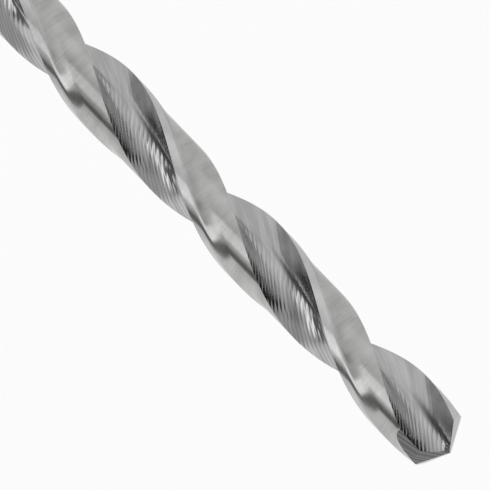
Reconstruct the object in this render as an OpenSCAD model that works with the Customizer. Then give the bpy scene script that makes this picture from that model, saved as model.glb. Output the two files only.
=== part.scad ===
// Two-flute twist drill for metal, right-hand cutting, straight shank.
// The axis lies on Z: the shank end is at the origin and the point is up.
// One lip ends on +X. Angles round the axis are given as a lag, in degrees
// behind the leading edge of the land, so the next flute has negative lags.

/* [Overall] */
// Cutting diameter, also the shank's
drill_d = 6; // [5:0.1:8]
// Length from the shank end to the point
overall = 93; // [80:1:130]
// Length from the point to the end of the flutes' run-out
flute_len = 57; // [45:1:65]
// Chamfer at the shank end
shank_chamfer = 0.4; // [0.1:0.05:0.8]

/* [Flutes] */
// Length in which the flutes make one turn
lead = 36.16; // [28:0.01:48]
// Width of a land round the circumference, at the lips
land_w = 3.86; // [3.2:0.01:4.4]
// Gain in land width for each millimetre away from the lips
land_gain = 0.02; // [0:0.001:0.025]
// Thickness of the core between the flutes, at the lips
core_web = 1.06; // [0.8:0.01:1.4]
// Gain in core thickness for each millimetre away from the lips
core_gain = 0.02; // [0:0.001:0.03]
// Length over which the flutes run out into the shank
runout_len = 10; // [6:0.5:14]
// Depth of the flute's cutting wall, which leaves a straight lip
rake_depth = 1.65; // [1.4:0.05:1.9]
// Angle between the flute's heel wall and the radius where it meets the heel
heel_wall_angle = 15; // [5:1:30]
// How far the cutting wall keeps its direction at the bottom, against the flute's width
bottom_pull = 1.2; // [1:0.05:1.4]
// How far the heel wall keeps its direction, against the flute's width
heel_pull = 1.4; // [1:0.05:1.7]

/* [Margins] */
// Width of the cylindrical strip along the leading edge of each land
margin_w = 0.76; // [0.4:0.01:1.2]
// Depth of the body clearance behind the strip
clearance = 0.28; // [0.1:0.01:0.4]
// Width of the hollow that leads down from the strip to the cleared land
hollow_w = 1.3; // [0.6:0.05:1.6]

/* [Point] */
// Angle between the two lips, seen from the side
point_angle = 132; // [116:1:142]
// Thickness of the thinned web at the point, also the distance between the lips' lines
point_web = 0.36; // [0.24:0.01:0.6]
// Slope of the relief just behind a lip, across the lip
relief = 15; // [8:1:18]
// Slope of the second relief behind it
second_relief = 40; // [30:1:48]
// Width of the first relief at the centre
relief_w_inner = 0.3; // [0.2:0.01:0.5]
// Width of the first relief at the outer corner
relief_w_outer = 2.1; // [1.4:0.01:2.6]
// Slope of the ground facet that takes the heel away
heel_facet = 72.6; // [66:0.1:76]
// Distance of that facet from the axis, level with the lips' outer corners
heel_facet_r = 1.88; // [1.6:0.01:2.1]
// Lag of that facet's downhill direction
heel_facet_lag = 93.4; // [88:0.1:100]
// Angle between the axis and each of the two notches that thin the web
notch_angle = 35; // [30:1:42]
// Angle at which a notch leaves the line of its lip, seen from the point
notch_turn = 6; // [4:1:10]
// Angle between a notch's two walls
notch_opening = 105; // [98:1:115]
// Radius of the corner between them
notch_corner_r = 0.2; // [0.1:0.05:0.3]
// Distance from the axis at which a notch leaves the lip
notch_start = 0.05; // [0.02:0.01:0.1]

/* [Hidden] */
slices = 86;
wall_points = 11;
rake_points = 4;
margin_points = 3;
hollow_points = 5;
land_points = 5;
full_r = drill_d / 2;
body_r = full_r - clearance;
land_angle = land_w / full_r * 180 / PI;
heel_lag = land_angle - 180;
margin_angle = margin_w / full_r * 180 / PI;
hollow_angle = hollow_w / full_r * 180 / PI;
land_angle_gain = land_gain / full_r * 180 / PI;
// The fluted body ends inside the shank, a little under its surface
seat_len = 1;
seat_r = full_r - 0.045;
shank_len = overall - flute_len;
// Width of a flute's very end, as a share of its full width
end_share = 0.2;
// The lips lie half the thinned web ahead of the axis
lip_turn = asin(point_web / drill_d);
lip_reach = full_r * cos(lip_turn);
lip_slope = 1 / tan(point_angle / 2);
lip_top = overall + point_web / 2 * tan(relief);
corner_z = lip_top - lip_reach * lip_slope;
second_gain = tan(second_relief) - tan(relief);
ridge_slope = (relief_w_outer - relief_w_inner) / lip_reach;
// The uncut body stands this far above the point
stock = 0.4;
// Reach of a grinding wheel's corner, well past the drill
notch_size = 4;
notch_points = 5;
reach = 2 * overall;

// Lag at radius r of a flute's cutting wall, as seen at the lips
function rake_lag(r) =
    lip_turn - asin(point_web / 2 / r)
    + 360 / lead * lip_slope * (lip_reach - sqrt(r * r - point_web * point_web / 4));

// Place on a flat section of a lag and a radius
function place(lag, r) = r * [cos(lag), sin(lag)];

// Heel wall and bottom of a flute, from the heel in to the cutting wall, as [lag, radius]
function heel_wall() =
    let (
        r = full_r - rake_depth,
        from = place(rake_lag(r), r),
        inwards = from - place(rake_lag(r + 0.01), r + 0.01),
        to = place(heel_lag, body_r),
        span = norm(to - from),
        from_pull = inwards / norm(inwards) * span * bottom_pull,
        to_pull = place(heel_lag - heel_wall_angle, span * heel_pull)
    )
    [
        for (i = [wall_points : -1 : 1])
            let (
                u = i / wall_points,
                p = (2 * u * u * u - 3 * u * u + 1) * from + (u * u * u - 2 * u * u + u) * from_pull
                    + (3 * u * u - 2 * u * u * u) * to + (u * u * u - u * u) * to_pull
            )
            [atan2(p[1], p[0]), norm(p)]
    ];

// Cutting wall of a flute, out to the land, as [lag, radius]
function cutting_wall() = [
    for (i = [0 : rake_points])
        let (r = full_r - rake_depth * (1 - i / rake_points))
        [rake_lag(r), r]
];

flute = concat(heel_wall(), cutting_wall());
flute_depth = full_r - min([for (p = flute) p[1]]);

// Point k of a flute, carried to a lag between that height's edges and to its depth there.
// Where the flute runs out its points spread evenly, so that no wall folds over as it fades.
function flute_point(k, edge, heel, deepening, spread) =
    let (
        share = 1 - flute[k][0] / heel_lag,
        placed = share + (k / (len(flute) - 1) - share) * spread,
        surface = full_r - clearance * (1 - share)
    )
    [placed * edge + (1 - placed) * (heel - 180), surface - (surface - flute[k][1]) * deepening];

// One flute and one land, as [lag, radius], at a distance back from the corners
function half_section(back) =
    let (
        behind = max(back, 0),
        deepening = (full_r - (core_web + core_gain * behind) / 2) / flute_depth,
        u = min(max((back - (corner_z - shank_len - runout_len)) / runout_len, 0), 1),
        narrow = sqrt(1 - (1 - end_share * end_share) * u * u),
        land = land_angle + land_angle_gain * behind,
        middle = (land - 180) / 2,
        edge = middle * (1 - narrow),
        heel = land * narrow + (middle + 180) * (1 - narrow),
        strip_end = edge + margin_angle,
        hollow_end = strip_end + hollow_angle,
        points = concat(
            [for (k = [0 : len(flute) - 1]) flute_point(k, edge, heel, deepening, u * u)],
            [for (i = [1 : margin_points]) [edge + margin_angle * i / margin_points, full_r]],
            [
                for (i = [1 : hollow_points - 1])
                    let (share = i / hollow_points)
                    [strip_end + hollow_angle * share, full_r - clearance * sin(90 * share)]
            ],
            [for (i = [0 : land_points - 1]) [hollow_end + (heel - hollow_end) * i / land_points, body_r]]
        )
    )
    [for (p = points) [p[0], p[1] + (seat_r - p[1]) * u * u]];

// The whole section at height z, turned along the helix
function section(z) =
    let (half = half_section(corner_z - z), turn = 360 * (z - corner_z) / lead)
    [
        for (side = [0, 180], p = half)
            [p[1] * cos(turn - p[0] - side), p[1] * sin(turn - p[0] - side), z]
    ];

// A closed solid through sections of equal point count, bottom first
module loft(sections) {
    count = len(sections[0]);
    last = len(sections) - 1;
    bottom = count * len(sections);
    sides = [
        for (k = [0 : last - 1], j = [0 : count - 1])
            let (a = k * count + j, b = k * count + (j + 1) % count)
            each [[a, b, b + count], [a, b + count, a + count]]
    ];
    caps = [
        for (j = [0 : count - 1])
            let (n = (j + 1) % count)
            each [[bottom, n, j], [bottom + 1, last * count + j, last * count + n]]
    ];
    points = concat(
        [for (s = sections) each s],
        [[0, 0, sections[0][0][2]], [0, 0, sections[last][0][2]]]
    );
    polyhedron(points, concat(sides, caps));
}

// Twisted body with both flutes, its point not yet ground
module fluted_body() {
    low = shank_len - seat_len;
    high = overall + stock;
    loft([for (k = [0 : slices]) section(low + (high - low) * k / slices)]);
}

// All space below a plane through [0, y, z] that climbs by [along x, along y]
module below(y, z, climb) {
    translate([0, y, z])
        rotate([0, -atan(norm(climb)), atan2(climb[1], climb[0])])
            translate([-reach, -reach, -2 * reach])
                cube(2 * reach);
}

// Space under the three ground facets behind one lip
module ground_side() {
    intersection() {
        rotate([0, 0, -lip_turn])
            below(point_web / 2, lip_top, [-lip_slope, tan(relief)]);
        rotate([0, 0, -lip_turn])
            below(
                point_web / 2,
                lip_top + second_gain * relief_w_inner,
                [second_gain * ridge_slope - lip_slope, tan(second_relief)]
            );
        rotate([0, 0, -heel_facet_lag])
            below(0, corner_z + heel_facet_r * tan(heel_facet), [-tan(heel_facet), 0]);
    }
}

// Space under the whole ground point, both sides alike
module ground_point() {
    intersection_for (side = [0, 180])
        rotate([0, 0, side])
            ground_side();
}

// Corner of the grinding wheel that cuts a notch in front of one lip
module notch() {
    middle = notch_corner_r / tan(notch_opening / 2);
    sweep = 180 - notch_opening;
    corner = [
        for (i = [0 : notch_points])
            let (a = sweep * i / notch_points)
            [middle - notch_corner_r * sin(a), notch_corner_r * (1 - cos(a))]
    ];
    far = notch_size * [cos(notch_opening), sin(notch_opening)];
    rotate([0, 0, -lip_turn])
        translate([notch_start, point_web / 2, corner_z + (lip_reach - notch_start) * lip_slope])
            rotate([0, -notch_angle, notch_turn])
                translate([0, 0, -notch_size])
                    linear_extrude(notch_size * 3 / 2)
                        polygon(concat([[notch_size, 0]], corner, [far]));
}

// Plain round shank with a chamfered end
module shank() {
    rotate_extrude($fn = 96)
        polygon([
            [0, 0],
            [full_r - shank_chamfer, 0],
            [full_r, shank_chamfer],
            [full_r, shank_len],
            [0, shank_len]
        ]);
}

module twist_drill() {
    color("silver") {
        shank();
        difference() {
            intersection() {
                fluted_body();
                ground_point();
            }
            for (side = [0, 180])
                rotate([0, 0, side])
                    notch();
        }
    }
}

twist_drill();
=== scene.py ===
"""A two-flute twist drill, bright ground all over, on a plain pale floor."""

import math

import bmesh
import bpy
from mathutils import Matrix, Vector


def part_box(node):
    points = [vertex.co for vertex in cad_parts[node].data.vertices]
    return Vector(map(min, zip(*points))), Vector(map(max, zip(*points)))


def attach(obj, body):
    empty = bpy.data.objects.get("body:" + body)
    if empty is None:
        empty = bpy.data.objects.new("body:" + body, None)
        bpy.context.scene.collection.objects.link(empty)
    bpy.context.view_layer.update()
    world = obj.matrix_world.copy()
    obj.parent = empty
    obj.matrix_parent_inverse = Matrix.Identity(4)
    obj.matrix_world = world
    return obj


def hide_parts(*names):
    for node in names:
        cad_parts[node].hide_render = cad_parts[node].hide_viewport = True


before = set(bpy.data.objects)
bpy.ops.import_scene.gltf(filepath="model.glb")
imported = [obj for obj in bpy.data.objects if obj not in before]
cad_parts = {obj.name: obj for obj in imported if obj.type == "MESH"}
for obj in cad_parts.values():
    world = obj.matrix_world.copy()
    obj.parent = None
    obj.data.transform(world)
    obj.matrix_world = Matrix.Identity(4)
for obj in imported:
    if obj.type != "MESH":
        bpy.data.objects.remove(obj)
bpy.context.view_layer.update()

# Camera
# The photograph looks almost square on to the drill, from far off with a long lens, and a little
# from the point's end. The picture is turned so that the drill runs down to the right.
MM = 0.001
PICTURE_CENTRE = Vector((3.735, 3.829, 69.518)) * MM
CAMERA_AZIMUTH = math.radians(42.829)
CAMERA_ELEVATION = math.radians(13.533)
CAMERA_ROLL = math.radians(135.986)
CAMERA_DISTANCE = 659.8 * MM
SENSOR = 36.0
LENS = 587.755

towards_camera = Vector((
    math.cos(CAMERA_ELEVATION) * math.cos(CAMERA_AZIMUTH),
    math.cos(CAMERA_ELEVATION) * math.sin(CAMERA_AZIMUTH),
    math.sin(CAMERA_ELEVATION),
))
camera = bpy.data.objects.new("camera", bpy.data.cameras.new("camera"))
bpy.context.scene.collection.objects.link(camera)
camera.data.sensor_width = SENSOR
camera.data.lens = LENS
camera.data.clip_start = 0.05
camera.data.clip_end = 20
level_view = towards_camera.to_track_quat("Z", "Y").to_matrix().to_4x4()
camera.matrix_world = (
    Matrix.Translation(PICTURE_CENTRE + towards_camera * CAMERA_DISTANCE)
    @ level_view
    @ Matrix.Rotation(CAMERA_ROLL, 4, "Z")
)
bpy.context.scene.camera = camera


# Fluted body
# The drill is ground from one round bar of hardened high-speed steel. Two flutes twist round it and
# run out into the plain shank. Each land between them keeps a narrow strip at full size, the margin,
# along its leading edge, and is cleared behind it so that it doesn't rub in the hole.
DRILL_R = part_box("twist_drill")[1].x
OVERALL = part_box("twist_drill")[1].z
SHANK_LEN = OVERALL - 57 * MM
SHANK_CHAMFER = 0.4 * MM
POINT_STOCK = 0.4 * MM

LEAD = 36.16 * MM
LAND_W = 3.86 * MM
LAND_GAIN = 0.02
MARGIN_W = 0.76 * MM
CLEARANCE = 0.28 * MM
# A hollow leads down from the margin to the cleared land. The photograph shows its edge rounded by
# the wheel, so it is rounded and a little wider here, and within 0.07 mm of the source's hollow.
HOLLOW_W = 1.65 * MM
HOLLOW_EDGE_W = 0.45 * MM
CORE_WEB = 1.06 * MM
CORE_GAIN = 0.02
RUNOUT_LEN = 10 * MM
RUNOUT_END_SHARE = 0.2
RAKE_DEPTH = 1.65 * MM
HEEL_WALL_ANGLE = math.radians(15)
BOTTOM_PULL = 1.2
HEEL_PULL = 1.4

# The flutes' cutting wall and the lands' corners follow from the point, which leaves a straight lip.
POINT_WEB = 0.36 * MM
POINT_ANGLE = math.radians(132)
RELIEF = math.radians(15)
LIP_TURN = math.asin(POINT_WEB / 2 / DRILL_R)
LIP_REACH = DRILL_R * math.cos(LIP_TURN)
LIP_SLOPE = 1 / math.tan(POINT_ANGLE / 2)
LIP_TOP = OVERALL + POINT_WEB / 2 * math.tan(RELIEF)
CORNER_Z = LIP_TOP - LIP_REACH * LIP_SLOPE
BODY_R = DRILL_R - CLEARANCE
LAND_ANGLE = LAND_W / DRILL_R
HOLLOW_END_ANGLE = (MARGIN_W + HOLLOW_W) / DRILL_R

# The mesh's columns across each part of half the section, and the height of its rows
WALL_COLUMNS = 80
RAKE_COLUMNS = 30
MARGIN_COLUMNS = 10
HOLLOW_COLUMNS = 26
LAND_COLUMNS = 40
FLUTE_ROW = 0.27 * MM
SHANK_ROW = 2 * MM

COLUMN_VALUES = ("edge_share", "heel_share", "turn", "shift", "flute_share", "relief_depth")
FINISHES = ("shank", "flute", "margin", "land")

# Patterns in millimetres on the unrolled drill. The wheel's own lines are some 0.02 mm apart, too
# fine to show, so they are drawn 0.1 mm apart. The clouding is where the wheel pressed harder.
LINE_W = 0.1
LINE_LEN = 3
CLOUD_W = 1.2
CLOUD_LEN = 2.4
# The flutes' feed marks are 0.33 mm apart square across them, which is 0.6 mm up the drill.
MARK_PITCH = 0.6
MARK_SLANT = 1.5
FLUTE_LINE_LEN = 4
FLUTE_CLOUD_W = 1.5
FLUTE_CLOUD_LEN = 3


def add(tree, kind, links=(), **settings):
    """Adds a node with its settings, and sets or links its inputs by name or place."""
    node = tree.nodes.new(kind)
    for name, value in settings.items():
        setattr(node, name, value)
    for name, value in dict(links).items():
        if isinstance(value, bpy.types.NodeSocket):
            tree.links.new(value, node.inputs[name])
        else:
            node.inputs[name].default_value = value
    return node


def to_linear(colour):
    """An sRGB hex colour as linear red, green, blue and full alpha."""
    parts = [int(colour[i : i + 2], 16) / 255 for i in (1, 3, 5)]
    return tuple(c / 12.92 if c <= 0.04045 else ((c + 0.055) / 1.055) ** 2.4 for c in parts) + (1,)


def steel(name, roughness, gleam):
    """Bright steel. Its gleam is drawn out across lines round the drill by the given share."""
    material = bpy.data.materials.new(name)
    material.use_nodes = True
    tree = material.node_tree
    tree.nodes.clear()
    surface = add(tree, "ShaderNodeBsdfPrincipled", {
        "Metallic": 1,
        "Roughness": roughness,
        "Anisotropic": gleam,
        "Anisotropic Rotation": 0.25,
    })
    if gleam:
        tangent = add(tree, "ShaderNodeTangent", direction_type="UV_MAP", uv_map="unrolled")
        tree.links.new(tangent.outputs[0], surface.inputs["Tangent"])
    add(tree, "ShaderNodeOutputMaterial", {"Surface": surface.outputs[0]})
    return material, tree, surface


def unrolled_place(tree):
    """The place on the unrolled drill in millimetres: round it and up it."""
    unrolled = add(tree, "ShaderNodeUVMap", uv_map="unrolled").outputs[0]
    return add(tree, "ShaderNodeSeparateXYZ", {0: unrolled}).outputs


def grinding_lines(tree, across, along, width, length, detail):
    """Grinding lines as noise. They are about a width apart and a length long."""
    place = add(tree, "ShaderNodeCombineXYZ", {
        "X": add(tree, "ShaderNodeMath", {0: across, 1: width}, operation="DIVIDE").outputs[0],
        "Y": add(tree, "ShaderNodeMath", {0: along, 1: length}, operation="DIVIDE").outputs[0],
    }).outputs[0]
    return add(tree, "ShaderNodeTexNoise", {
        "Vector": place,
        "Scale": 1,
        "Detail": detail,
    }, noise_dimensions="2D").outputs[0]


def finish_surface(tree, surface, tone, height, dark, light, depth):
    """Colours a surface from dark to light by a tone, and raises it by a height.

    The tone's middle values, from 0.3 to 0.7, hold nearly all of it. The depth is in millimetres.
    """
    tone = add(tree, "ShaderNodeMapRange", {
        "Value": tone,
        "From Min": 0.3,
        "From Max": 0.7,
    }).outputs[0]
    colour = add(tree, "ShaderNodeMix", {
        "Factor": tone,
        "A": to_linear(dark),
        "B": to_linear(light),
    }, data_type="RGBA")
    tree.links.new(colour.outputs["Result"], surface.inputs["Base Color"])
    bump = add(tree, "ShaderNodeBump", {"Height": height, "Distance": depth * MM, "Strength": 1})
    tree.links.new(bump.outputs[0], surface.inputs["Normal"])


def round_ground_steel(name, dark, light, roughness, depth):
    """Steel ground with a wheel that runs round it: fine lines round it, and a faint clouding."""
    material, tree, surface = steel(name, roughness, gleam=0.6)
    place = unrolled_place(tree)
    height = grinding_lines(tree, place["Y"], place["X"], LINE_W, LINE_LEN, detail=3)
    cloudy = grinding_lines(tree, place["Y"], place["X"], CLOUD_W, CLOUD_LEN, detail=4)
    tone = add(tree, "ShaderNodeMix", {
        "Factor": 0.35,
        "A": cloudy,
        "B": height,
    }, data_type="FLOAT").outputs["Result"]
    finish_surface(tree, surface, tone, height, dark, light, depth)
    return material


def flute_ground_steel(name, dark, light, roughness, depth):
    """Steel of the flutes. The wheel leaves feed marks that cross them on a slant.

    The marks are deep on the heel's side and fade towards the cutting wall.
    """
    material, tree, surface = steel(name, roughness, gleam=0.5)
    place = unrolled_place(tree)
    slant = add(tree, "ShaderNodeMath", {
        0: place["X"],
        1: MARK_SLANT,
        2: place["Y"],
    }, operation="MULTIPLY_ADD").outputs[0]
    sway = grinding_lines(tree, slant, place["X"], FLUTE_CLOUD_W, FLUTE_LINE_LEN, detail=1)
    turns = add(tree, "ShaderNodeMath", {
        0: slant,
        1: math.tau / MARK_PITCH,
        2: sway,
    }, operation="MULTIPLY_ADD").outputs[0]
    wave = add(tree, "ShaderNodeMath", {0: turns}, operation="SINE").outputs[0]
    marks = add(tree, "ShaderNodeMapRange", {"Value": wave, "From Min": -1, "From Max": 1}).outputs[0]
    fine = grinding_lines(tree, slant, place["X"], LINE_W, FLUTE_LINE_LEN, detail=3)
    marked = add(tree, "ShaderNodeMix", {
        "Factor": 0.06,
        "A": marks,
        "B": fine,
    }, data_type="FLOAT").outputs["Result"]
    faint = add(tree, "ShaderNodeMapRange", {
        "Value": add(tree, "ShaderNodeAttribute", attribute_name="edge_share").outputs["Fac"],
        "From Min": 0.55,
        "From Max": 0.95,
        "To Min": 1,
        "To Max": 0.15,
    }, interpolation_type="SMOOTHSTEP").outputs[0]
    height = add(tree, "ShaderNodeMath", {0: marked, 1: faint}, operation="MULTIPLY").outputs[0]
    cloudy = grinding_lines(tree, slant, place["X"], FLUTE_CLOUD_W, FLUTE_CLOUD_LEN, detail=4)
    tone = add(tree, "ShaderNodeMix", {
        "Factor": 0.25,
        "A": cloudy,
        "B": height,
    }, data_type="FLOAT").outputs["Result"]
    finish_surface(tree, surface, tone, height, dark, light, depth)
    return material


steels = {
    # Ground round between centres: a soft sheen, with fine lines round it and a faint clouding
    "shank": round_ground_steel(
        "steel_ground_round_shank", "#B6B6B4", "#CACAC8", roughness=0.3, depth=0.003
    ),
    # Ground from the solid by a formed wheel: mirror bright, with slanting feed marks
    "flute": flute_ground_steel(
        "steel_form_ground_flute", "#AEAEAE", "#CFCFCF", roughness=0.16, depth=0.011
    ),
    # Ground last and finest, since it runs in the hole: the brightest strip
    "margin": round_ground_steel(
        "steel_finish_ground_margin", "#C9C9C9", "#DADADA", roughness=0.2, depth=0.0015
    ),
    # Cleared behind the margin and not finished further: a little duller
    "land": round_ground_steel(
        "steel_ground_round_land", "#B4B4B2", "#CCCCCA", roughness=0.2, depth=0.0015
    ),
}


def rake_point(r):
    """The cutting wall at radius r, as lag and radius. It leaves a straight lip."""
    half_web = POINT_WEB / 2
    reach = math.sqrt(DRILL_R**2 - half_web**2) - math.sqrt(r**2 - half_web**2)
    turned = math.asin(half_web / DRILL_R) - math.asin(half_web / r)
    return turned + math.tau / LEAD * LIP_SLOPE * reach, r


def on_section(lag, r):
    """The flat place of a lag and radius."""
    return Vector((math.cos(lag), math.sin(lag))) * r


def flute_section():
    """The flute's section at the point, from heel to cutting edge, as (lag, radius)."""
    bottom_r = DRILL_R - RAKE_DEPTH
    start = on_section(*rake_point(bottom_r))
    inwards = (start - on_section(*rake_point(bottom_r + 0.01 * MM))).normalized()
    heel_lag = LAND_ANGLE - math.pi
    end = on_section(heel_lag, BODY_R)
    span = (end - start).length
    start_pull = inwards * span * BOTTOM_PULL
    end_pull = on_section(heel_lag - HEEL_WALL_ANGLE, span * HEEL_PULL)
    wall = []
    for i in range(WALL_COLUMNS, 0, -1):
        u = i / WALL_COLUMNS
        p = (2 * u**3 - 3 * u**2 + 1) * start + (u**3 - 2 * u**2 + u) * start_pull
        p = p + (3 * u**2 - 2 * u**3) * end + (u**3 - u**2) * end_pull
        wall.append((math.atan2(p.y, p.x), p.length))
    for i in range(RAKE_COLUMNS + 1):
        wall.append(rake_point(bottom_r + RAKE_DEPTH * i / RAKE_COLUMNS))
    return wall


def hollow_fall(across):
    """How far the hollow lies under the margin's surface, at a distance behind the margin.

    It is two parabolas: a rounded edge, and a longer curve that ends level with the cleared land.
    """
    if across < HOLLOW_EDGE_W:
        return CLEARANCE * across**2 / HOLLOW_W / HOLLOW_EDGE_W
    return CLEARANCE * (1 - (HOLLOW_W - across) ** 2 / HOLLOW_W / (HOLLOW_W - HOLLOW_EDGE_W))


def bar_columns():
    """Half of the bar's columns, round the section from one heel to the next.

    A column lies at edge_share * edge + heel_share * heel + turn, where edge and heel are the lags
    of the land's two edges at that height. Its shift spreads the flute's columns evenly where the
    flute fades, so that no wall folds over.
    """
    columns = []
    heel_lag = LAND_ANGLE - math.pi
    section = flute_section()
    deepest = DRILL_R - min(r for lag, r in section)
    for k, (lag, r) in enumerate(section):
        share = (lag - heel_lag) / -heel_lag
        relieved = CLEARANCE * (1 - share)
        columns.append({
            "edge_share": share,
            "heel_share": 1 - share,
            "turn": math.pi * (share - 1),
            "shift": k / (len(section) - 1) - share,
            "flute_share": (DRILL_R - relieved - r) / deepest,
            "relief_depth": relieved,
            "finish": "flute",
        })
    uncut = {"edge_share": 1, "heel_share": 0, "shift": 0, "flute_share": 0, "relief_depth": 0}
    for k in range(1, MARGIN_COLUMNS + 1):
        turn = MARGIN_W / DRILL_R * k / MARGIN_COLUMNS
        columns.append(uncut | {"turn": turn, "finish": "margin"})
    for k in range(1, HOLLOW_COLUMNS):
        across = HOLLOW_W * k / HOLLOW_COLUMNS
        turn = (MARGIN_W + across) / DRILL_R
        columns.append(uncut | {"turn": turn, "relief_depth": hollow_fall(across), "finish": "land"})
    for k in range(LAND_COLUMNS):
        share = k / LAND_COLUMNS
        columns.append(uncut | {
            "edge_share": 1 - share,
            "heel_share": share,
            "turn": HOLLOW_END_ANGLE * (1 - share),
            "relief_depth": CLEARANCE,
            "finish": "land",
        })
    return columns


def turned_bar():
    """The bar's mesh, open at the point's end, with its columns' values and a UV map.

    The UV map is in millimetres: round the section as it is at the lips, and up the drill.
    """
    half = bar_columns()
    columns = half + [c | {"turn": c["turn"] + math.pi} for c in half]
    count = len(columns)
    outline = []
    for c in columns:
        r = DRILL_R - c["flute_share"] * (DRILL_R - CORE_WEB / 2) - c["relief_depth"]
        outline.append(on_section(c["heel_share"] * LAND_ANGLE + c["turn"], r))
    girth = [0]
    for k in range(count):
        girth.append(girth[-1] + (outline[(k + 1) % count] - outline[k]).length / MM)

    heights = [0, SHANK_CHAMFER]
    plain_len = SHANK_LEN - SHANK_CHAMFER
    shank_rows = round(SHANK_LEN / SHANK_ROW)
    heights += [SHANK_CHAMFER + plain_len * i / shank_rows for i in range(1, shank_rows)]
    top = OVERALL + POINT_STOCK
    flute_rows = round((top - SHANK_LEN) / FLUTE_ROW)
    heights += [SHANK_LEN + (top - SHANK_LEN) * i / flute_rows for i in range(flute_rows + 1)]

    points = []
    for row, z in enumerate(heights):
        r = DRILL_R - (SHANK_CHAMFER if row == 0 else 0)
        points += [Vector((*on_section(-math.tau * k / count, r), z)) for k in range(count)]
    faces = [tuple(range(count))]
    finishes = ["shank"]
    uvs = [(0, 0)] * count
    for row in range(len(heights) - 1):
        low, high = heights[row] / MM, heights[row + 1] / MM
        for k in range(count):
            a = row * count + k
            b = row * count + (k + 1) % count
            faces.append((a, a + count, b + count, b))
            uvs += [(girth[k], low), (girth[k], high), (girth[k + 1], high), (girth[k + 1], low)]
            this, next_one = columns[k]["finish"], columns[(k + 1) % count]["finish"]
            finish = "land" if this == "land" else next_one
            finishes.append("shank" if heights[row + 1] <= SHANK_LEN else finish)
    mesh = bpy.data.meshes.new("bar")
    mesh.from_pydata(points, [], faces)
    mesh.materials.append(steels["shank"])
    for name in COLUMN_VALUES:
        attribute = mesh.attributes.new(name, "FLOAT", "POINT")
        attribute.data.foreach_set("value", [c[name] for c in columns] * len(heights))
    finish = mesh.attributes.new("finish", "INT", "FACE")
    finish.data.foreach_set("value", [FINISHES.index(f) for f in finishes])
    unrolled = mesh.uv_layers.new(name="unrolled")
    unrolled.data.foreach_set("uv", [value for uv in uvs for value in uv])
    return mesh


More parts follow.
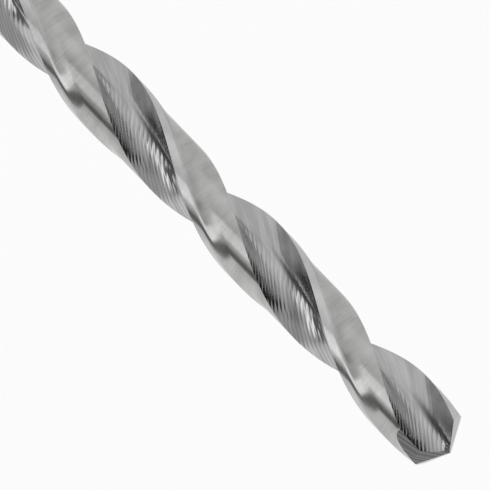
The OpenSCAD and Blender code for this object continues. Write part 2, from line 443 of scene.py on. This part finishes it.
def flute_tree():
    """Grinds the bar: flutes, margins and body clearance, twisted along the helix."""
    tree = bpy.data.node_groups.new("Grind flutes", "GeometryNodeTree")
    tree.interface.new_socket("Bar", in_out="INPUT", socket_type="NodeSocketGeometry")
    sizes = {
        "Lead": LEAD,
        "Corner height": CORNER_Z,
        "Shank length": SHANK_LEN,
        "Run-out start": SHANK_LEN + RUNOUT_LEN,
        "Run-out narrowing": 1 - RUNOUT_END_SHARE**2,
        "Land angle": LAND_ANGLE,
        "Land gain": LAND_GAIN / DRILL_R,
        "Flute depth": DRILL_R - CORE_WEB / 2,
        "Core gain": CORE_GAIN / 2,
    }
    for name in sizes:
        tree.interface.new_socket(name, in_out="INPUT", socket_type="NodeSocketFloat")
    for name in FINISHES:
        tree.interface.new_socket(name, in_out="INPUT", socket_type="NodeSocketMaterial")
    tree.interface.new_socket("Drill", in_out="OUTPUT", socket_type="NodeSocketGeometry")
    given = add(tree, "NodeGroupInput").outputs
    columns = {
        name: add(tree, "GeometryNodeInputNamedAttribute", {"Name": name}).outputs[0]
        for name in COLUMN_VALUES
    }
    position = add(tree, "GeometryNodeInputPosition").outputs[0]
    place = add(tree, "ShaderNodeSeparateXYZ", {0: position}).outputs
    flat = add(tree, "ShaderNodeCombineXYZ", {"X": place["X"], "Y": place["Y"]}).outputs[0]
    bar_radius = add(tree, "ShaderNodeVectorMath", {0: flat}, operation="LENGTH").outputs["Value"]
    runout = add(tree, "ShaderNodeMapRange", {
        "Value": place["Z"],
        "From Min": given["Run-out start"],
        "From Max": given["Shank length"],
    }).outputs[0]

    # Each step is a result's name, a sum, and what goes into it. Back is how far a point lies
    # below the lands' corners. Edge and heel are the lags of a land's two edges.
    known = {name: given[name] for name in sizes} | columns
    known |= {"height": place["Z"], "bar radius": bar_radius, "run-out": runout}
    steps = (
        ("back", "SUBTRACT", "Corner height", "height"),
        ("behind", "MAXIMUM", "back", 0),
        ("core gained", "MULTIPLY", "behind", "Core gain"),
        ("depth", "SUBTRACT", "Flute depth", "core gained"),
        ("run-out squared", "MULTIPLY", "run-out", "run-out"),
        ("fade", "SUBTRACT", 1, "run-out squared"),
        ("width lost", "MULTIPLY", "Run-out narrowing", "run-out squared"),
        ("width kept", "SUBTRACT", 1, "width lost"),
        ("narrow", "SQRT", "width kept"),
        ("widen", "SUBTRACT", 1, "narrow"),
        ("land", "MULTIPLY_ADD", "behind", "Land gain", "Land angle"),
        ("land to flute", "SUBTRACT", "land", math.pi),
        ("middle", "MULTIPLY", "land to flute", 0.5),
        ("edge", "MULTIPLY", "middle", "widen"),
        ("next middle", "ADD", "middle", math.pi),
        ("heel moved", "MULTIPLY", "next middle", "widen"),
        ("heel", "MULTIPLY_ADD", "land", "narrow", "heel moved"),
        ("from heel", "MULTIPLY_ADD", "heel_share", "heel", "turn"),
        ("from edge", "MULTIPLY_ADD", "edge_share", "edge", "from heel"),
        ("edge less heel", "SUBTRACT", "edge", "heel"),
        ("flute angle", "ADD", "edge less heel", math.pi),
        ("spread", "MULTIPLY", "shift", "run-out squared"),
        ("lag", "MULTIPLY_ADD", "spread", "flute angle", "from edge"),
        ("full cut", "MULTIPLY_ADD", "flute_share", "depth", "relief_depth"),
        ("cut", "MULTIPLY", "full cut", "fade"),
        ("radius", "SUBTRACT", "bar radius", "cut"),
        ("turns", "DIVIDE", "back", "Lead"),
        ("turned back", "MULTIPLY_ADD", "turns", math.tau, "lag"),
        ("angle", "MULTIPLY", "turned back", -1),
        ("cosine", "COSINE", "angle"),
        ("sine", "SINE", "angle"),
        ("x", "MULTIPLY", "radius", "cosine"),
        ("y", "MULTIPLY", "radius", "sine"),
    )
    for name, operation, *parts in steps:
        parts = [known.get(part, part) for part in parts]
        known[name] = add(tree, "ShaderNodeMath", enumerate(parts), operation=operation).outputs[0]

    ground = add(tree, "ShaderNodeCombineXYZ", {
        "X": known["x"],
        "Y": known["y"],
        "Z": place["Z"],
    }).outputs[0]
    shape = add(tree, "GeometryNodeSetPosition", {
        "Geometry": given["Bar"],
        "Position": ground,
    }).outputs[0]
    shape = add(tree, "GeometryNodeRealizeInstances", {0: shape}).outputs[0]
    finish = add(tree, "GeometryNodeInputNamedAttribute", {"Name": "finish"}, data_type="INT")
    for index, name in enumerate(FINISHES):
        chosen = add(tree, "FunctionNodeCompare", {
            2: finish.outputs[0],
            3: index,
        }, data_type="INT", operation="EQUAL")
        shape = add(tree, "GeometryNodeSetMaterial", {
            "Geometry": shape,
            "Selection": chosen.outputs[0],
            "Material": given[name],
        }).outputs[0]
    add(tree, "NodeGroupOutput", {0: shape})
    return tree, sizes


bar = bpy.data.objects.new("bar", turned_bar())
bpy.context.scene.collection.objects.link(bar)
grinding = bar.modifiers.new("Grind flutes", "NODES")
grinding.node_group, sizes = flute_tree()
sockets = {item.name: item.identifier for item in grinding.node_group.interface.items_tree}
for name, value in sizes.items():
    grinding[sockets[name]] = value
for name in FINISHES:
    grinding[sockets[name]] = steels[name]
bpy.context.view_layer.update()
evaluated = bar.evaluated_get(bpy.context.evaluated_depsgraph_get())
fluted = bpy.data.meshes.new_from_object(evaluated)
bpy.data.objects.remove(bar)
# The flute's marks still read edge_share
for name in (*COLUMN_VALUES[1:], "finish"):
    fluted.attributes.remove(fluted.attributes[name])


# Point
# The bar's end is ground to a point. Each side has three flats: a narrow relief behind the lip, a
# steeper one behind it, and a steep facet that takes the heel away. Two notches thin the web.
SECOND_RELIEF = math.radians(40)
RELIEF_W_INNER = 0.3 * MM
RELIEF_W_OUTER = 2.1 * MM
HEEL_FACET = math.radians(72.6)
HEEL_FACET_R = 1.88 * MM
HEEL_FACET_LAG = math.radians(93.4)
NOTCH_ANGLE = math.radians(35)
NOTCH_TURN = math.radians(6)
NOTCH_OPENING = math.radians(105)
NOTCH_CORNER_R = 0.2 * MM
NOTCH_START = 0.05 * MM
NOTCH_SIZE = 4 * MM
NOTCH_STEPS = 8
ON_PLANE = 1e-7
SHARP_EDGE = math.radians(24)
POINT_LINE_W = 0.12 * MM


def flat_ground_steel(name, dark, light, depth):
    """Steel of a flat of the point, ground in straight lines that run down across the lip."""
    material, tree, surface = steel(name, roughness=0.35, gleam=0)
    along_lip = (math.cos(LIP_TURN), -math.sin(LIP_TURN), 0)
    across = add(tree, "ShaderNodeVectorMath", {
        0: add(tree, "ShaderNodeTexCoord").outputs["Object"],
        1: along_lip,
    }, operation="DOT_PRODUCT").outputs["Value"]
    height = grinding_lines(tree, across, 0.0, POINT_LINE_W, 1, detail=2)
    finish_surface(tree, surface, height, height, dark, light, depth)
    return material


# Ground fine behind the lip, which cuts: nearly as bright as the margin
steels["relief"] = flat_ground_steel("steel_fine_ground_relief", "#C2C2C2", "#D6D6D6", depth=0.003)
# Ground coarse where nothing cuts, with lines that show. Its dark colour is painted shade, a painted
# dark reflection on these flats
steels["point"] = flat_ground_steel("steel_coarse_ground_point_painted_shade", "#303030", "#A0A0A0", depth=0.008)


def face_below(turn, height, ahead, climb):
    """A point and the upward normal of a cut, in a frame turned back by a lag."""
    unturned = Matrix.Rotation(-turn, 3, "Z")
    normal = Vector((-climb[0], -climb[1], 1)).normalized()
    return unturned @ Vector((0, ahead, height)), unturned @ normal


second_gain = math.tan(SECOND_RELIEF) - math.tan(RELIEF)
ridge_slope = (RELIEF_W_OUTER - RELIEF_W_INNER) / LIP_REACH
flats = []
for side in (0, math.pi):
    flats.append(("relief", *face_below(
        LIP_TURN + side,
        LIP_TOP,
        POINT_WEB / 2,
        (-LIP_SLOPE, math.tan(RELIEF)),
    )))
    flats.append(("point", *face_below(
        LIP_TURN + side,
        LIP_TOP + second_gain * RELIEF_W_INNER,
        POINT_WEB / 2,
        (second_gain * ridge_slope - LIP_SLOPE, math.tan(SECOND_RELIEF)),
    )))
    flats.append(("point", *face_below(
        HEEL_FACET_LAG + side,
        CORNER_Z + HEEL_FACET_R * math.tan(HEEL_FACET),
        0,
        (-math.tan(HEEL_FACET), 0),
    )))

fluted.materials.append(steels["relief"])
fluted.materials.append(steels["point"])
body = bmesh.new()
body.from_mesh(fluted)
rim = [edge for edge in body.edges if edge.is_boundary]
centre = body.verts.new((0, 0, OVERALL + POINT_STOCK))
for edge in rim:
    loop = edge.link_loops[0]
    body.faces.new((edge.other_vert(loop.vert), loop.vert, centre))
for finish, place, normal in flats:
    cut = bmesh.ops.bisect_plane(
        body,
        geom=body.verts[:] + body.edges[:] + body.faces[:],
        dist=ON_PLANE,
        plane_co=place,
        plane_no=normal,
        clear_outer=True,
    )
    edges = [part for part in cut["geom_cut"] if isinstance(part, bmesh.types.BMEdge)]
    made = bmesh.ops.holes_fill(body, edges=edges, sides=0)["faces"]
    for face in made:
        face.material_index = fluted.materials.find(steels[finish].name)
    bmesh.ops.triangulate(body, faces=made)
body.to_mesh(fluted)
body.free()


def notch_wheels():
    """The rounded wheel corners that cut both notches, from the centre down into the flutes."""
    wheels = bmesh.new()
    middle = NOTCH_CORNER_R / math.tan(NOTCH_OPENING / 2)
    profile = [(NOTCH_SIZE, 0)]
    for i in range(NOTCH_STEPS + 1):
        swept = (math.pi - NOTCH_OPENING) * i / NOTCH_STEPS
        profile.append((
            middle - NOTCH_CORNER_R * math.sin(swept),
            NOTCH_CORNER_R * (1 - math.cos(swept)),
        ))
    profile.append((NOTCH_SIZE * math.cos(NOTCH_OPENING), NOTCH_SIZE * math.sin(NOTCH_OPENING)))
    off_lip = Matrix.Rotation(NOTCH_TURN, 3, "Z")
    along = off_lip @ Vector((math.sin(NOTCH_ANGLE), 0, -math.cos(NOTCH_ANGLE)))
    up = off_lip @ Vector((math.cos(NOTCH_ANGLE), 0, math.sin(NOTCH_ANGLE)))
    ahead = off_lip @ Vector((0, 1, 0))
    lip_z = CORNER_Z + (LIP_REACH - NOTCH_START) * LIP_SLOPE
    start = Vector((NOTCH_START, POINT_WEB / 2, lip_z))
    for side in (0, math.pi):
        turned = Matrix.Rotation(-LIP_TURN - side, 3, "Z")
        rings = []
        for reach in (-NOTCH_SIZE / 2, NOTCH_SIZE):
            ring = [turned @ (start + along * reach + up * x + ahead * y) for x, y in profile]
            rings.append([wheels.verts.new(p) for p in ring])
        for k in range(len(profile)):
            n = (k + 1) % len(profile)
            wheels.faces.new((rings[0][k], rings[0][n], rings[1][n], rings[1][k]))
        wheels.faces.new(reversed(rings[0]))
        wheels.faces.new(rings[1])
    bmesh.ops.recalc_face_normals(wheels, faces=wheels.faces)
    mesh = bpy.data.meshes.new("notch wheels")
    wheels.to_mesh(mesh)
    wheels.free()
    # The notches' faces take the point's steel, with its painted shade
    mesh.materials.append(steels["point"])
    return mesh


wheels = bpy.data.objects.new("notch wheels", notch_wheels())
bpy.context.scene.collection.objects.link(wheels)
pointed = bpy.data.objects.new("pointed drill", fluted)
bpy.context.scene.collection.objects.link(pointed)
notch = pointed.modifiers.new("Notch", "BOOLEAN")
notch.operation = "DIFFERENCE"
notch.solver = "EXACT"
notch.object = wheels
bpy.context.view_layer.update()
evaluated = pointed.evaluated_get(bpy.context.evaluated_depsgraph_get())
finished = bpy.data.meshes.new_from_object(evaluated)
bpy.data.objects.remove(pointed)
bpy.data.objects.remove(wheels)
finished.shade_smooth()
finished.set_sharp_from_angle(angle=SHARP_EDGE)

drill = bpy.data.objects.new("drill", finished)
bpy.context.scene.collection.objects.link(drill)
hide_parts("twist_drill")
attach(drill, "root")


# Studio
# A plain pale floor stands under the drill, in even white light all round. Far flags and two soft
# lamps, seen only in the steel, give its reflections their shape.
FLOOR = 1.5
FLAG_CELLS = 24

floor_mesh = bpy.data.meshes.new("floor")
corners = [(-FLOOR, -FLOOR, 0), (FLOOR, -FLOOR, 0), (FLOOR, FLOOR, 0), (-FLOOR, FLOOR, 0)]
floor_mesh.from_pydata(corners, [], [(0, 1, 2, 3)])
floor = bpy.data.objects.new("floor", floor_mesh)
bpy.context.scene.collection.objects.link(floor)
floor.visible_glossy = False
# Matt white paint: no gleam, and the drill's soft shadow
paint = bpy.data.materials.new("matt_white_paint")
paint.use_nodes = True
painted = paint.node_tree.nodes["Principled BSDF"]
painted.inputs["Base Color"].default_value = to_linear("#FDFDFD")
painted.inputs["Roughness"].default_value = 0.9
floor_mesh.materials.append(paint)

studio = bpy.data.worlds.new("studio")
bpy.context.scene.world = studio
studio.use_nodes = True
studio.node_tree.nodes.clear()
# White to the eye and as light on the floor, and a little darker where the steel mirrors it
room = add(studio.node_tree, "ShaderNodeBackground", {"Color": (1, 1, 1, 1), "Strength": 1})
mirrored = add(studio.node_tree, "ShaderNodeBackground", {"Color": (1, 1, 1, 1), "Strength": 0.82})
walls = add(studio.node_tree, "ShaderNodeMixShader", {
    0: add(studio.node_tree, "ShaderNodeLightPath").outputs["Is Glossy Ray"],
    1: room.outputs[0],
    2: mirrored.outputs[0],
})
add(studio.node_tree, "ShaderNodeOutputWorld", {"Surface": walls.outputs[0]})


def flag(name, distance, path, height, brightness, fade):
    """A far panel of cloth, seen only in the steel, that shapes its reflections.

    It stands at a distance in metres. Its middle line follows azimuths from the camera's and
    elevations, its height is in degrees too, and it fades out over two shares of its size, at its
    ends and along its edges. A brightness of 1 is white, and a lamp has more.
    """
    points = []
    faces = []
    uvs = []
    for i in range(FLAG_CELLS + 1):
        leg = min(int(i / FLAG_CELLS * (len(path) - 1)), len(path) - 2)
        share = i / FLAG_CELLS * (len(path) - 1) - leg
        middle = Vector(path[leg]).lerp(Vector(path[leg + 1]), share)
        azimuth = CAMERA_AZIMUTH + math.radians(middle.x)
        for j in range(FLAG_CELLS + 1):
            elevation = math.radians(middle.y + height * (j / FLAG_CELLS - 0.5))
            points.append(distance * Vector((
                math.cos(elevation) * math.cos(azimuth),
                math.cos(elevation) * math.sin(azimuth),
                math.sin(elevation),
            )))
    for i in range(FLAG_CELLS):
        for j in range(FLAG_CELLS):
            corners = ((i, j), (i + 1, j), (i + 1, j + 1), (i, j + 1))
            faces.append([a * (FLAG_CELLS + 1) + b for a, b in corners])
            uvs += [(a / FLAG_CELLS, b / FLAG_CELLS) for a, b in corners]
    mesh = bpy.data.meshes.new(name)
    mesh.from_pydata(points, [], faces)
    mesh.uv_layers.new(name="edges").data.foreach_set("uv", [value for uv in uvs for value in uv])
    panel = bpy.data.objects.new(name, mesh)
    bpy.context.scene.collection.objects.link(panel)
    panel.visible_camera = False
    panel.visible_diffuse = False
    panel.visible_transmission = False
    panel.visible_shadow = False
    cloth = bpy.data.materials.new(name)
    cloth.use_nodes = True
    tree = cloth.node_tree
    tree.nodes.clear()
    edges = add(tree, "ShaderNodeUVMap", uv_map="edges").outputs[0]
    place = add(tree, "ShaderNodeSeparateXYZ", {0: edges}).outputs
    cover = 1
    for axis, softness in zip("XY", fade):
        inwards = add(tree, "ShaderNodeMath", {0: place[axis], 1: 0.5}, operation="PINGPONG")
        dense = add(tree, "ShaderNodeMapRange", {
            "Value": inwards.outputs[0],
            "From Max": softness,
        }, interpolation_type="SMOOTHSTEP").outputs[0]
        cover = add(tree, "ShaderNodeMath", {0: cover, 1: dense}, operation="MULTIPLY").outputs[0]
    glow = add(tree, "ShaderNodeEmission", {"Color": (1, 1, 1, 1), "Strength": brightness}).outputs[0]
    clear = add(tree, "ShaderNodeBsdfTransparent").outputs[0]
    mixed = add(tree, "ShaderNodeMixShader", {0: cover, 1: clear, 2: glow}).outputs[0]
    add(tree, "ShaderNodeOutputMaterial", {"Surface": mixed})
    mesh.materials.append(cloth)


flag("high grey flag", 4.3, [(-150, 30), (60, 30)], 84, 0.47, (0.1, 0.3))
flag("back grey flag", 4.2, [(-179, -8), (-50, -8)], 40, 0.72, (0.15, 0.2))
flag("upper lamp", 4.2, [(22, 4), (52, 3)], 16, 1.6, (0.2, 0.25))
flag("low black flag", 4.1, [(-45, -24.5), (45, -24.5), (80, -26), (120, -25)], 22, 0.06, (0.26, 0.18))
flag("lower lamp", 4.05, [(4, -12), (50, -12)], 9, 1.6, (0.25, 0.2))
flag("narrow black flag", 4.0, [(46, 6), (84, -16)], 24, 0.13, (0.2, 0.15))
flag("high black flag", 4.0, [(-165, 2), (-120, 15), (-80, 26), (-30, 34)], 26, 0.0, (0.08, 0.12))
flag("narrow grey flag", 4.0, [(-18, 14), (4, 14)], 28, 0.22, (0.3, 0.25))

bpy.context.scene.view_settings.view_transform = "Standard"
